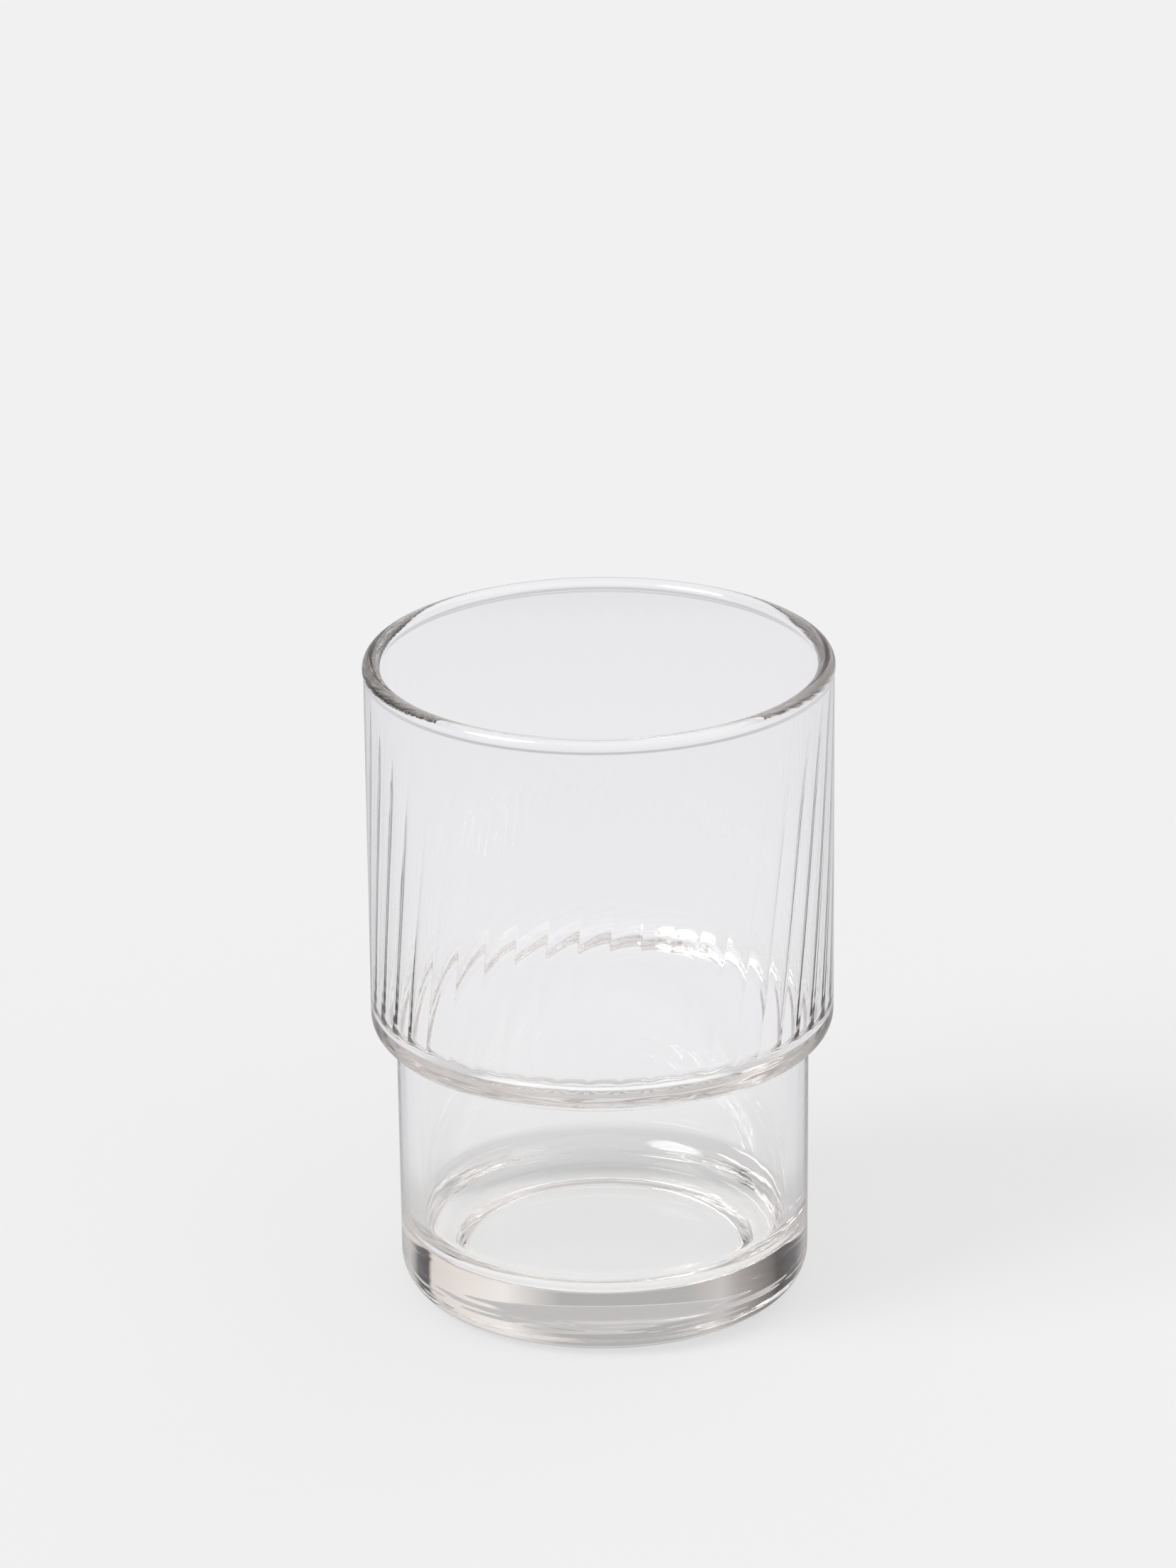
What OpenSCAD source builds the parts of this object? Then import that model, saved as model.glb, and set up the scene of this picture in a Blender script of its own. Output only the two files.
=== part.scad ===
// Cortado glass: a small stacking tumbler, pressed from clear glass in one piece.
// A wide upper bowl with leaning flutes inside stands on a narrower lower bowl with a thick base.
// In a stack, the shoulder between the two bowls sits on the rim of the glass below.

/* [Rim] */
// Outside diameter of the rim bead
rim_d = 62.8; // [58:0.2:68]
// Height from the table to the top of the rim
height = 90; // [82:0.5:98]
// Thickness of the rounded bead along the rim
bead_t = 2.4; // [2.1:0.1:2.8]
// How far the bead stands out past the outside of the wall
bead_proud = 0.15; // [0.1:0.05:0.25]
// How far the bead stands in past the inside of the wall
bead_lip = 0.15; // [0.1:0.05:0.25]

/* [Upper bowl] */
// Wall thickness just above the inner ledge
bowl_wall_t = 2.55; // [2.4:0.05:2.8]
// How much smaller the outside radius is at the shoulder than at the rim
bowl_draft = 0.18; // [0.1:0.02:0.3]

/* [Shoulder] */
// Height above the table at which the underside of the shoulder meets the lower wall
shoulder_z = 36.6; // [33:0.2:41]
// How far the shoulder stands out past the lower wall
shoulder_w = 3.35; // [3.2:0.05:3.8]
// Angle at which the underside of the shoulder rises outwards
shoulder_slope = 13; // [8:1:16]
// Radius of the outer corner of the shoulder
shoulder_r = 3.1; // [2:0.1:3.1]
// Radius of the hollow corner under the shoulder
shoulder_fillet = 0.5; // [0.3:0.1:0.6]
// Height of the middle of the inner ledge above the underside of the shoulder
ledge_t = 2.4; // [2.2:0.1:2.8]
// Angle at which the inner ledge falls towards the middle of the glass
ledge_slope = 31; // [24:1:36]
// Radius of the hollow corner between the ledge and the upper wall
ledge_corner_r = 3.3; // [2.4:0.1:3.3]
// Radius of the rounded edge between the ledge and the lower wall
ledge_edge_r = 3.3; // [2.4:0.1:3.3]

/* [Lower bowl] */
// Wall thickness just under the shoulder
lower_wall_t = 2.6; // [2.3:0.05:2.9]
// Wall thickness just above the floor
floor_wall_t = 2.8; // [2.5:0.05:3.2]
// How much smaller the outside radius is at the heel than under the shoulder
lower_draft = 0.22; // [0.1:0.02:0.4]

/* [Base] */
// Height of the inside floor above the table
floor_z = 7.8; // [6.5:0.1:10]
// Radius of the hollow corner between the floor and the lower wall
floor_corner_r = 5; // [3:0.1:6]
// Radius of the rounded heel at the edge of the base
heel_r = 5.2; // [3.5:0.1:6]
// Width of the flat ring that the glass stands on
ring_w = 1.2; // [1:0.1:4]
// Depth of the hollow under the base
punt_h = 1.2; // [0.8:0.1:2]
// Width of the sloping side of the hollow under the base
punt_slope_w = 2.7; // [1.5:0.1:4]

/* [Flutes] */
// Number of flutes around the inside of the upper bowl
flutes = 45; // [36:1:48]
// Depth of a flute at its lower end
flute_depth = 0.24; // [0.24:0.02:0.4]
// Depth of a flute at its shallowest, below the rim
flute_shallow = 0.05; // [0.05:0.01:0.12]
// Angle at which the flutes lean around the wall
flute_lean = 5.5; // [4:0.5:6]
// Radius of the round lower end of a flute
flute_end_r = 1.5; // [1.2:0.1:1.8]
// Height above the hollow corner of the ledge at which a flute's lower end starts to round
flute_rise = 0; // [0:0.1:1]

/* [Hidden] */
$fn = 96;

// Outside of the wall, from the rim down
rim_r = rim_d / 2;
bead_r = bead_t / 2;
bead_z = height - bead_r;
bowl_top_r = rim_r - bead_proud;
bowl_low_r = bowl_top_r - bowl_draft;
lower_top_r = bowl_low_r - shoulder_w;
lower_low_r = lower_top_r - lower_draft;
heel_x = lower_low_r - heel_r;
punt_r = heel_x - ring_w;

// Shoulder: each rounding touches the wall beside it and the sloping underside
outer_r = min(shoulder_r, 0.98 * shoulder_w / (1 - sin(shoulder_slope)) - shoulder_fillet);
outer_x = bowl_low_r - outer_r;
outer_z = shoulder_z + (outer_x - lower_top_r) * tan(shoulder_slope) + outer_r / cos(shoulder_slope);
under_x = lower_top_r + shoulder_fillet;
under_z = shoulder_z - shoulder_fillet * (1 - sin(shoulder_slope)) / cos(shoulder_slope);

// Inside of the wall, from the rim down
mouth_r = rim_r - bead_t + bead_lip;
bowl_in_r = bowl_low_r - bowl_wall_t;
lower_in_r = lower_top_r - lower_wall_t;
floor_in_r = lower_low_r - floor_wall_t;
cut_over = 1.5;

// Ledge: a hollow corner at the upper wall and a rounded edge at the lower wall touch its slope
ledge_z = shoulder_z + ledge_t;
ledge_w = bowl_in_r - lower_in_r;
ledge_mid_r = (bowl_in_r + lower_in_r) / 2;
round_max = 0.49 * ledge_w / (1 - sin(ledge_slope));
hollow_r = min(ledge_corner_r, round_max);
edge_r = min(ledge_edge_r, round_max);
hollow_x = bowl_in_r - hollow_r;
hollow_z = ledge_z + (hollow_x - ledge_mid_r) * tan(ledge_slope) + hollow_r / cos(ledge_slope);
edge_x = lower_in_r + edge_r;
edge_z = ledge_z + (edge_x - ledge_mid_r) * tan(ledge_slope) - edge_r / cos(ledge_slope);

// Flutes: neighbours meet in a crest at their lower ends, and the straight cut bows away from
// the round wall as it leans, so its slope is set for the shallowest depth that is wanted
wall_slope = (mouth_r - bowl_in_r) / (bead_z - hollow_z);
flute_z = hollow_z + flute_rise;
flute_wall_r = bowl_in_r + wall_slope * flute_rise;
half_pitch = PI * flute_wall_r / flutes;
flute_r = 1 / (1 / flute_wall_r + 2 * flute_depth / half_pitch ^ 2);
flute_axis_r = flute_wall_r + flute_depth - flute_r;
flute_bow = tan(flute_lean) ^ 2 / (2 * flute_axis_r);
flute_fall = 2 * sqrt(flute_bow * (flute_depth - flute_shallow));
flute_way = [wall_slope - flute_fall, tan(flute_lean), 1];
flute_len = norm(flute_way) * (bead_z + cut_over - flute_z);

module outside() {
    rotate_extrude() {
        difference() {
            union() {
                polygon([
                    [0, punt_h],
                    [punt_r - punt_slope_w, punt_h],
                    [punt_r, 0],
                    [heel_x, 0],
                    [lower_low_r, heel_r],
                    [lower_top_r, under_z],
                    [under_x, under_z] + shoulder_fillet * [-sin(shoulder_slope), cos(shoulder_slope)],
                    [outer_x, outer_z] + outer_r * [sin(shoulder_slope), -cos(shoulder_slope)],
                    [bowl_low_r, outer_z],
                    [bowl_top_r, bead_z],
                    [0, bead_z]
                ]);
                translate([heel_x, heel_r]) circle(heel_r);
                translate([outer_x, outer_z]) circle(outer_r);
            }
            translate([under_x, under_z]) circle(shoulder_fillet);
        }
    }
}

module inside() {
    rotate_extrude() {
        difference() {
            union() {
                polygon([
                    [0, floor_z],
                    [floor_in_r - floor_corner_r, floor_z],
                    [floor_in_r, floor_z + floor_corner_r],
                    [lower_in_r, edge_z],
                    [edge_x, edge_z] + edge_r * [-sin(ledge_slope), cos(ledge_slope)],
                    [hollow_x, hollow_z] + hollow_r * [sin(ledge_slope), -cos(ledge_slope)],
                    [bowl_in_r, hollow_z],
                    [mouth_r, bead_z],
                    [mouth_r, bead_z + cut_over],
                    [0, bead_z + cut_over]
                ]);
                translate([floor_in_r - floor_corner_r, floor_z + floor_corner_r]) circle(floor_corner_r);
                translate([hollow_x, hollow_z]) circle(hollow_r);
            }
            translate([edge_x, edge_z]) circle(edge_r);
        }
    }
}

// A round rod with a rounded foot, standing where flute number k is pressed into the wall
module flute(k) {
    rotate([0, 0, 360 / flutes * k])
        translate([flute_axis_r, 0, flute_z])
            rotate([0, acos(1 / norm(flute_way)), atan2(flute_way.y, flute_way.x)])
                rotate_extrude() {
                    square([flute_r, flute_len]);
                    translate([0, -flute_end_r]) square([flute_r - flute_end_r, flute_end_r]);
                    intersection() {
                        translate([flute_r - flute_end_r, 0]) circle(flute_end_r);
                        translate([flute_r - flute_end_r, -flute_end_r]) square(flute_end_r);
                    }
                }
}

module tumbler() {
    color([0.86, 0.89, 0.9, 0.5]) {
        difference() {
            outside();
            inside();
            for (k = [0 : flutes - 1]) flute(k);
        }
        rotate_extrude() translate([rim_r - bead_r, bead_z]) circle(bead_r);
    }
}

tumbler();
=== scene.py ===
import math

import bpy
from mathutils import Matrix, Vector


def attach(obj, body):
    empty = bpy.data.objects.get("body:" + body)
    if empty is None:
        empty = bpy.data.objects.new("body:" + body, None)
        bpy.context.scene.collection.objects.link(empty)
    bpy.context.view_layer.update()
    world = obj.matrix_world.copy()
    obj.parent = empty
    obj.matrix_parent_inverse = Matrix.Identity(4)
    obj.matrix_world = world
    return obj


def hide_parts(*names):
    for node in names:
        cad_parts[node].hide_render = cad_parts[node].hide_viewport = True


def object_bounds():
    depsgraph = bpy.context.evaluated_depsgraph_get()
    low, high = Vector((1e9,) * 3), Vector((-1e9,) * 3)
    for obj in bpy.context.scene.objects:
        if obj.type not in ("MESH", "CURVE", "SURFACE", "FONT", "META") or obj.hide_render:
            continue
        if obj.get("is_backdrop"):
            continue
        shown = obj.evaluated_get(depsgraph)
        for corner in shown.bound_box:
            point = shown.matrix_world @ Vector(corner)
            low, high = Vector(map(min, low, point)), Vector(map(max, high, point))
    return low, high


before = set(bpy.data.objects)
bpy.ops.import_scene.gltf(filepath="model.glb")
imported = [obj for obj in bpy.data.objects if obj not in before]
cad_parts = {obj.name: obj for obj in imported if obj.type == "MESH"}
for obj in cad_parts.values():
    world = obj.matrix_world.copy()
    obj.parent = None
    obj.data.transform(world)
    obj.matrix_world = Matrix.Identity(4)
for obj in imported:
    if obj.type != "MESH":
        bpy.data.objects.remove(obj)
cad_low, cad_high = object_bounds()


# The tumbler: the whole glass is one piece of clear soda-lime glass, pressed from a single gob.
# The mould forms the stepped outside, a fluted plunger turns out of the inside and leaves the
# flutes leaning, and a flame rounds the rim into a bead. Sizes are in millimetres.
MM = 0.001
RIM_R, HEIGHT = round(cad_high[0] / MM, 1), round(cad_high[2] / MM, 1)
BEAD_R, BEAD_PROUD, BEAD_FILLET = 1.2, 0.15, 1.1
BEAD_X, BEAD_Z = RIM_R - BEAD_R, HEIGHT - BEAD_R
WALL_OUT_R, WALL_IN_R = RIM_R - BEAD_PROUD, RIM_R - 2 * BEAD_R + BEAD_PROUD
SUPPORT = 0.25
ARC_TURN, ARC_STEP = math.radians(12), 0.34
WIDEST_STEP, WIDENING = 4.0, 0.35
HOLLOW_STEPS, CROWN_STEPS = 3, 32


def rounded(corners):
    """Points (r, z) along the line through (r, z, radius) corners, each turned by an arc of its radius.

    A straight run takes a point close to each end, which keeps its shading straight."""
    arcs = [[Vector(corners[0][:2])]]
    for before, here, after in zip(corners, corners[1:], corners[2:]):
        corner = Vector(here[:2])
        way_in = (corner - Vector(before[:2])).normalized()
        way_out = (Vector(after[:2]) - corner).normalized()
        turn = way_in.angle_signed(way_out)
        centre = corner + (way_out - way_in).normalized() * here[2] / math.cos(turn / 2)
        start = corner - way_in * here[2] * math.tan(abs(turn) / 2) - centre
        steps = math.ceil(max(abs(turn) / ARC_TURN, abs(turn) * here[2] / ARC_STEP))
        arcs.append([centre + Matrix.Rotation(-turn * k / steps, 2) @ start for k in range(steps + 1)])
    arcs.append([Vector(corners[-1][:2])])
    path = []
    for arc, following in zip(arcs, arcs[1:]):
        run = following[0] - arc[-1]
        path += arc
        if run.length > 3 * SUPPORT:
            path += [arc[-1] + run.normalized() * SUPPORT, following[0] - run.normalized() * SUPPORT]
    return path + arcs[-1]


def wall_points(foot, top, close_to, step):
    """Points up a straight wall, a step apart up to a height and wider apart above it."""
    points, z = [], foot.y
    while z < top.y - 1:
        points.append(foot.lerp(top, (z - foot.y) / (top.y - foot.y)))
        z += max(step, min(WIDEST_STEP, WIDENING * (z - close_to)))
    return points


# The wall meets the bead in a small hollow on both sides, at the same height and angle
bead_gap = BEAD_R - BEAD_PROUD + BEAD_FILLET
fillet_z = BEAD_Z - math.sqrt((BEAD_R + BEAD_FILLET) ** 2 - bead_gap ** 2)
fillet_angle = math.asin((BEAD_Z - fillet_z) / (BEAD_R + BEAD_FILLET))
outer_hollow, inner_hollow = (
    [Vector((x - side * BEAD_FILLET * math.cos(a), fillet_z + BEAD_FILLET * math.sin(a)))
     for a in (fillet_angle * k / HOLLOW_STEPS for k in range(HOLLOW_STEPS + 1))]
    for side, x in ((1, WALL_OUT_R + BEAD_FILLET), (-1, WALL_IN_R - BEAD_FILLET)))
crown_turn = (math.pi + 2 * fillet_angle) / CROWN_STEPS
crown = [Vector((BEAD_X + BEAD_R * math.cos(a), BEAD_Z + BEAD_R * math.sin(a)))
         for a in (crown_turn * k - fillet_angle for k in range(1, CROWN_STEPS))]

# Outside, from the hollow under the base over the ring it stands on, the heel and the shoulder
LOWER_MID = (27.55, 14.0, 0.0)
HEEL_TOP_Z, HEEL_STEP = 9.5, 0.17
base = rounded([
    (3.0, 1.2, 0.0), (18.4, 1.2, 1.5), (21.1, 0.0, 0.9), (27.46, 0.0, 5.2), LOWER_MID])
upper = rounded([
    LOWER_MID, (27.72, 36.6, 0.5), (31.06, 37.37, 3.1), (WALL_OUT_R, fillet_z, 0.0)])
lower_wall = wall_points(base[-3], base[-1], HEEL_TOP_Z, HEEL_STEP)
outside = base[:-3] + lower_wall + upper[:-1] + outer_hollow + crown

# Inside, from the rim down over the sloping ledge to the floor
LEDGE_TOP, LEDGE_LOW = (28.496, 40.0, 3.3), (25.145, 38.0, 3.3)
inside = rounded([
    (WALL_IN_R, fillet_z, 0.0), LEDGE_TOP, LEDGE_LOW, (24.615, 7.8, 5.0), (3.0, 7.8, 0.0)])
wall_top, wall_foot = inside[0], inside[2]

# Flutes: shallow hollows side by side, which meet in soft crests, end below in round feet above
# the ledge, lean around the wall and fade out under the rim
FLUTES = 45
FLUTE_FOOT_Z, FLUTE_END_Z, FLUTE_STEP = 42.2, 86.2, 0.15
FLUTE_DEPTH, FLUTE_FOOT_R = 0.135, 3.4
FADE_LATE, FADE_SOFT = 6, 1.5
FLUTE_START, FLUTE_TURN = math.radians(2.5), math.radians(0.30)
CREST = 0.06
HALF_FLUTE = (0.0, 0.35, 0.68, 0.88, 0.965)
inside = [wall_top] + wall_points(wall_foot, wall_top, FLUTE_FOOT_Z, FLUTE_STEP)[::-1] + inside[3:]


def fluted(point, across):
    """Radius of the fluted wall, across a flute from 0 at its middle to 1 at its crest."""
    if across < 1 - CREST:
        hollow = 1 - across ** 2
    else:
        hollow = CREST + (1 - across) ** 2 * (1 - CREST) / CREST
    above = (point.y - wall_foot.y) / (wall_top.y - wall_foot.y)
    wall = wall_foot.x + (wall_top.x - wall_foot.x) * above
    if point.y < FLUTE_FOOT_Z:
        cut = FLUTE_DEPTH * hollow - (FLUTE_FOOT_Z - point.y) ** 2 / (2 * FLUTE_FOOT_R)
    else:
        rise = min(1.0, (point.y - FLUTE_FOOT_Z) / (FLUTE_END_Z - FLUTE_FOOT_Z))
        cut = FLUTE_DEPTH * hollow * (1 - rise ** FADE_LATE) ** FADE_SOFT
    return max(point.x, wall + cut)


# Ripples: the cooler mould leaves low flat waves in the outside of the thick base and the shoulder,
# and the flame leaves fainter ones along the bead. Each band has a foot, a top and a strength. A
# ripple is about 8 mm long, and seven of them lie in 5 mm of height.
RIPPLED = ((1.3, 7.0, 0.15), (36.0, 39.8, 0.35), (87.8, 90.0, 0.015))
RIPPLE_LONG, RIPPLE_HIGH, RIPPLE_RISE = 8.0, 5 / 7, 1.0


def ripple_strength(z):
    """Strength of the ripples at a height on the outside, fading out above and below each band."""
    return max(strength * math.sin(math.pi * min(max((z - foot) / (top - foot), 0), 1))
               for foot, top, strength in RIPPLED)


# Each ring of the mesh lies at one height, and the columns turn with the flutes on the inside wall.
# The mesh also carries the strength of the ripples and their place: x, y and the way along the profile.
across_flute = [-1.0] + [-a for a in HALF_FLUTE[:0:-1]] + list(HALF_FLUTE)
columns = [(FLUTE_START + (k + (a + 1) / 2) * 2 * math.pi / FLUTES, abs(a))
           for k in range(FLUTES) for a in across_flute]
rings = [(p, BEAD_Z, False, ripple_strength(p.y)) for p in outside]
for p in inner_hollow[:0:-1] + inside:
    rings.append((p, min(max(p.y, LEDGE_LOW[1]), BEAD_Z), p.y > LEDGE_TOP[1] - 1, 0.0))
verts, faces, strengths, places = [], [], [], []
run, before = 0.0, rings[0][0]
for point, turn_z, has_flutes, strength in rings:
    run, before = run + (point - before).length, point
    for angle, across in columns:
        angle += FLUTE_TURN * (turn_z - FLUTE_FOOT_Z)
        r = fluted(point, across) if has_flutes else point.x
        verts.append((r * math.cos(angle) * MM, r * math.sin(angle) * MM, point.y * MM))
        strengths.append(strength)
        places += [*verts[-1][:2], run * MM]
count, last = len(columns), (len(rings) - 1) * len(columns)
for low in range(0, last, count):
    for i in range(count):
        a, b = low + i, low + (i + 1) % count
        faces.append((a, b, b + count, a + count))

# The hollow under the base and the floor are closed at their middles
verts += [(0, 0, rings[0][0].y * MM), (0, 0, rings[-1][0].y * MM)]
strengths += [0.0] * 2
places += [0.0] * 6
for i in range(count):
    faces.append((last + count, (i + 1) % count, i))
    faces.append((last + count + 1, last + i, last + (i + 1) % count))
mesh = bpy.data.meshes.new("pressed_tumbler")
mesh.from_pydata(verts, [], faces)
mesh.shade_smooth()
mesh.attributes.new("ripple", "FLOAT", "POINT").data.foreach_set("value", strengths)
mesh.attributes.new("ripple_place", "FLOAT_VECTOR", "POINT").data.foreach_set("vector", places)
tumbler = bpy.data.objects.new("pressed_tumbler", mesh)
bpy.context.scene.collection.objects.link(tumbler)


def linear(hex_colour):
    """Linear RGBA of an sRGB hex colour such as F4F4F2."""
    parts = [int(hex_colour[i:i + 2], 16) / 255 for i in (0, 2, 4)]
    return (*[c / 12.92 if c <= 0.04045 else ((c + 0.055) / 1.055) ** 2.4 for c in parts], 1.0)


def add_node(tree, kind, links=(), stops=(), **settings):
    """Adds a node, sets its properties and inputs by name, and links other sockets into it.

    A colour ramp also takes its stops, as (place, sRGB hex colour)."""
    node = tree.nodes.new(kind)
    for name, value in settings.items():
        if name in node.inputs:
            node.inputs[name].default_value = value
        else:
            setattr(node, name, value)
    for name, socket in dict(links).items():
        tree.links.new(socket, node.inputs[name])
    if stops:
        elements = node.color_ramp.elements
        while len(elements) < len(stops):
            elements.new(1.0)
        for element, (place, colour) in zip(elements, stops):
            element.position, element.color = place, linear(colour)
    return node


# Clear soda-lime glass, fire-polished after pressing: a colourless smooth surface that mirrors the
# room at its edges, with a faint warm grey in the thick base and rim, and streaks where it ripples
soda_lime_glass = bpy.data.materials.new("soda_lime_glass")
soda_lime_glass.use_nodes = True
tree = soda_lime_glass.node_tree
tree.nodes.clear()
ripple_place = add_node(tree, "ShaderNodeAttribute", attribute_name="ripple_place")
stretched = add_node(tree, "ShaderNodeMapping", {"Vector": ripple_place.outputs["Vector"]}, Scale=(
    1 / (RIPPLE_LONG * MM), 1 / (RIPPLE_LONG * MM), 1 / (RIPPLE_HIGH * MM)))
waves = add_node(tree, "ShaderNodeTexNoise", {"Vector": stretched.outputs["Vector"]}, Scale=1.0, Detail=0.0)
ripple = add_node(tree, "ShaderNodeAttribute", attribute_name="ripple")
ripples = add_node(tree, "ShaderNodeBump", {
    "Height": waves.outputs[0], "Strength": ripple.outputs["Fac"]}, Distance=RIPPLE_RISE * MM)
surface = add_node(tree, "ShaderNodeBsdfPrincipled", {"Normal": ripples.outputs["Normal"]}, **{
    "Base Color": linear("FFFFFF"), "Roughness": 0.0, "IOR": 1.52, "Transmission Weight": 1.0})
depth_tint = add_node(tree, "ShaderNodeVolumeAbsorption", **{"Color": linear("DEDAD7"), "Density": 16.0})
add_node(tree, "ShaderNodeOutputMaterial", {
    "Surface": surface.outputs["BSDF"], "Volume": depth_tint.outputs["Volume"]})
mesh.materials.append(soda_lime_glass)
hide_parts("tumbler")
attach(tumbler, "root")


# The floor: a wide sheet of matt pale paper, which the glass stands on. Seen through the glass it
# shows painted light and shade: white under the base, a painted shadow in a ring around the base, where the
# glass shades it, and darker again further back.
FLOOR = 4.0
PAPER_GLOW, SEEN_GLOW = 0.74, 0.85
SHADE_CENTRE = (0.0, -0.018, 0.0)
floor_mesh = bpy.data.meshes.new("paper_floor")
floor_mesh.from_pydata([(-FLOOR, -FLOOR, 0), (FLOOR, -FLOOR, 0), (FLOOR, FLOOR, 0), (-FLOOR, FLOOR, 0)],
                       [], [(0, 1, 2, 3)])
floor = bpy.data.objects.new("paper_floor", floor_mesh)
bpy.context.scene.collection.objects.link(floor)

# Matt paper: a plain diffuse sheet that takes the soft shadow, with a pale tone of its own. Where the
# glass mirrors it, it is painted shade: a darker grey than the glass lets through.
matt_paper = bpy.data.materials.new("matt_paper")
matt_paper.use_nodes = True
tree = matt_paper.node_tree
tree.nodes.clear()
paper = add_node(tree, "ShaderNodeBsdfDiffuse", Color=linear("DCDCDF"))
rays = add_node(tree, "ShaderNodeLightPath")
spot = add_node(tree, "ShaderNodeNewGeometry")
distance = add_node(tree, "ShaderNodeVectorMath", {0: spot.outputs["Position"]}, operation="DISTANCE")
distance.inputs[1].default_value = SHADE_CENTRE
# Painted light and shade in the paper seen through the glass: white right under the base, a painted shadow
# ring around it, darker again further back
seen_painted_light_and_shade = add_node(tree, "ShaderNodeValToRGB", {"Fac": distance.outputs["Value"]}, stops=(
    (0.0385, "FFFFFF"), (0.041, "BCBCBC"), (0.045, "D0D0D0"), (0.059, "D2D2D2"), (0.065, "EAEAEA"),
    (0.078, "ECECEE"), (0.118, "EDEDEF"), (0.27, "E5E5E8"), (0.31, "CCCCCE"), (0.42, "B4B4B6"),
    (0.60, "D8D8DA"), (0.90, "E5E5E8")))
# Painted shade: the paper as the glass mirrors it is a fixed darker grey (B0B0B2)
painted_shade_in_glass = add_node(tree, "ShaderNodeMix", {
    "Factor": rays.outputs["Is Transmission Ray"], 7: seen_painted_light_and_shade.outputs["Color"]}, data_type="RGBA")
painted_shade_in_glass.inputs[6].default_value = linear("B0B0B2")
seen = add_node(tree, "ShaderNodeMix", {
    "Factor": rays.outputs["Is Camera Ray"], 6: painted_shade_in_glass.outputs[2]}, data_type="RGBA")
seen.inputs[7].default_value = linear("EBEBEB")
glow = add_node(tree, "ShaderNodeEmission", {"Color": seen.outputs[2]}, Strength=1.0)
bare = add_node(tree, "ShaderNodeMath", {0: rays.outputs["Is Camera Ray"]}, operation="MULTIPLY")
bare.inputs[1].default_value = PAPER_GLOW
share = add_node(tree, "ShaderNodeMath", {0: rays.outputs["Is Glossy Ray"], 2: bare.outputs["Value"]},
                 operation="MULTIPLY_ADD")
share.inputs[1].default_value = SEEN_GLOW
lit = add_node(tree, "ShaderNodeMixShader", {
    0: share.outputs["Value"], 1: paper.outputs["BSDF"], 2: glow.outputs["Emission"]})
add_node(tree, "ShaderNodeOutputMaterial", {"Surface": lit.outputs["Shader"]})
floor_mesh.materials.append(matt_paper)
floor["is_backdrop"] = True


# The studio: a bright ceiling and front, pale walls, and a dark flag at each side that draws the
# dark lines in the rim, the heel and the flutes. Behind the glass hangs a plain pale backdrop.
# SIDES gives the tone of the walls from -1 at the left to 1 at the right.
WALL_LIGHT, CEILING_LIGHT = 1.1, 1.6
CEILING_STARTS, CEILING_FULL, FRONT_FULL = 0.45, 0.8, -0.4
SIDES = ((-0.92, "C4C0BC"), (-0.85, "303030"), (-0.72, "1C1A18"), (-0.69, "5C5854"), (-0.64, "7C7774"),
         (-0.50, "AEAAA8"), (-0.42, "D2D0CE"), (-0.28, "BCBCBC"), (0.15, "BCBCBC"), (0.36, "FFFCF9"),
         (0.72, "EAE2DC"), (0.742, "141212"), (0.81, "141212"), (0.87, "D0CECC"))
world = bpy.data.worlds.new("studio")
bpy.context.scene.world = world
world.use_nodes = True
room = world.node_tree
room.nodes.clear()
direction = add_node(room, "ShaderNodeTexCoord")
axes = add_node(room, "ShaderNodeSeparateXYZ", {"Vector": direction.outputs["Generated"]})
aside = add_node(room, "ShaderNodeMapRange", {"Value": axes.outputs["X"]}, **{"From Min": -1.0})
walls = add_node(room, "ShaderNodeValToRGB", {"Fac": aside.outputs["Result"]},
                 stops=[(0.5 + x / 2, colour) for x, colour in SIDES])
ceiling = add_node(room, "ShaderNodeMapRange", {"Value": axes.outputs["Z"]}, **{
    "From Min": CEILING_STARTS, "From Max": CEILING_FULL, "To Min": WALL_LIGHT, "To Max": CEILING_LIGHT})
front = add_node(room, "ShaderNodeMapRange", {"Value": axes.outputs["Y"]}, **{
    "From Min": 0.0, "From Max": FRONT_FULL})
all_round = add_node(room, "ShaderNodeMix", {
    "Factor": front.outputs["Result"], 6: walls.outputs["Color"]}, data_type="RGBA")
all_round.inputs[7].default_value = linear("FFFFFF")
lighting = add_node(room, "ShaderNodeBackground", {
    "Color": all_round.outputs[2], "Strength": ceiling.outputs["Result"]})
backdrop = add_node(room, "ShaderNodeBackground", Color=linear("F0F0F0"), Strength=1.0)
rays = add_node(room, "ShaderNodeLightPath")
shown = add_node(room, "ShaderNodeMixShader", {
    0: rays.outputs["Is Camera Ray"], 1: lighting.outputs["Background"],
    2: backdrop.outputs["Background"]})
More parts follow.
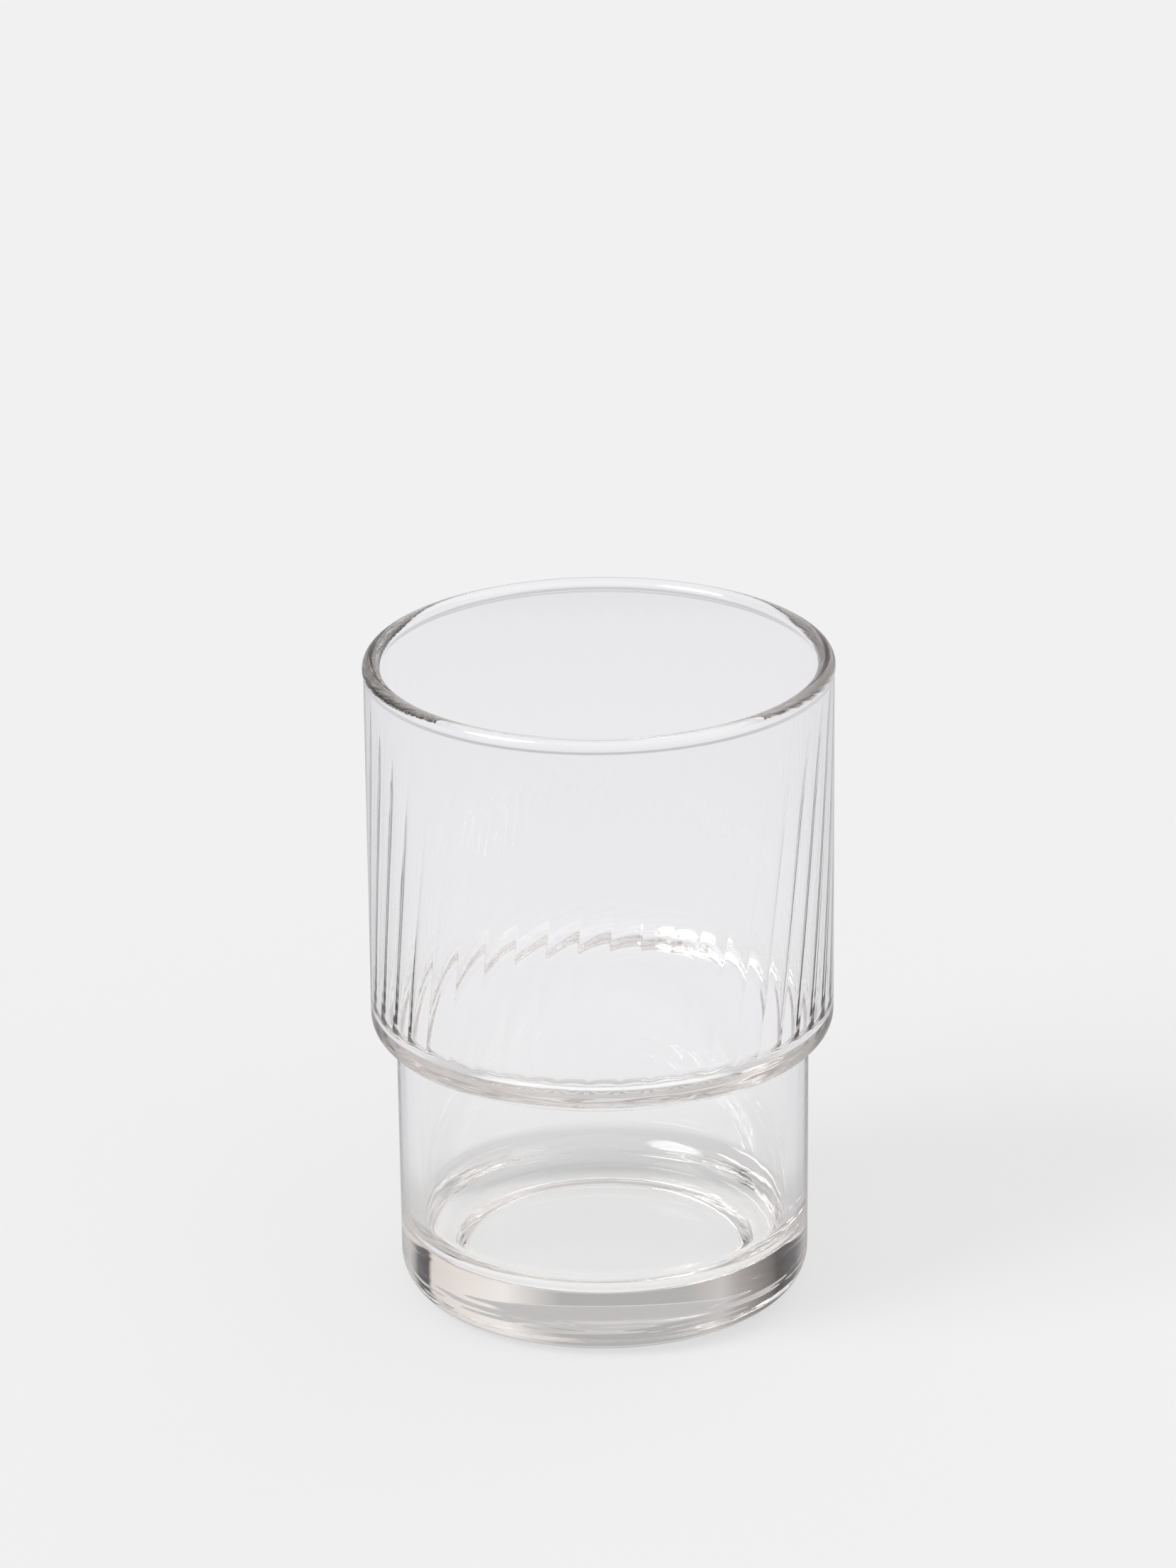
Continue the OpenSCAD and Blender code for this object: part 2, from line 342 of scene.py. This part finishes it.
add_node(room, "ShaderNodeOutputWorld", {"Surface": shown.outputs["Shader"]})

# One wide soft lamp from the front left lays the shadow to the right
LAMP_STRENGTH, LAMP_WIDTH = 1.9, math.radians(30)
LAMP_AZIMUTH, LAMP_HEIGHT = math.radians(60), math.radians(45)
key = bpy.data.lights.new("soft_lamp", "SUN")
key.energy = LAMP_STRENGTH
key.angle = LAMP_WIDTH
lamp = bpy.data.objects.new("soft_lamp", key)
towards = Vector((-math.sin(LAMP_AZIMUTH) * math.cos(LAMP_HEIGHT),
                  -math.cos(LAMP_AZIMUTH) * math.cos(LAMP_HEIGHT), math.sin(LAMP_HEIGHT)))
lamp.rotation_mode = "QUATERNION"
lamp.rotation_quaternion = (-towards).to_track_quat("-Z", "Y")
bpy.context.scene.collection.objects.link(lamp)


# The camera: a long lens well above the rim, tilted down at the angle of the picture.
PICTURE_H, FOCAL_PX, SENSOR = 2212, 13309.56, 36.0
CAMERA_PLACE = (0, -1.1686, 0.53307)
PITCH, YAW, ROLL = 0.37591, -0.001368, -0.010894
camera_data = bpy.data.cameras.new("camera")
camera_data.sensor_fit = "VERTICAL"
camera_data.sensor_height = camera_data.sensor_width = SENSOR
camera_data.lens = FOCAL_PX * SENSOR / PICTURE_H
camera_data.clip_end = 20.0
camera = bpy.data.objects.new("camera", camera_data)
ahead = Vector((math.sin(YAW) * math.cos(PITCH), math.cos(YAW) * math.cos(PITCH), -math.sin(PITCH)))
level = ahead.cross(Vector((0, 0, 1))).normalized()
upright = level.cross(ahead)
right = level * math.cos(ROLL) + upright * math.sin(ROLL)
up = upright * math.cos(ROLL) - level * math.sin(ROLL)
turned = Matrix((right, up, -ahead)).transposed().to_4x4()
camera.matrix_world = Matrix.Translation(CAMERA_PLACE) @ turned
bpy.context.scene.collection.objects.link(camera)
bpy.context.scene.camera = camera

scene = bpy.context.scene
scene.view_settings.view_transform = "Standard"
scene.cycles.max_bounces = 40
scene.cycles.transmission_bounces = 32
scene.cycles.glossy_bounces = 32

low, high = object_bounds()
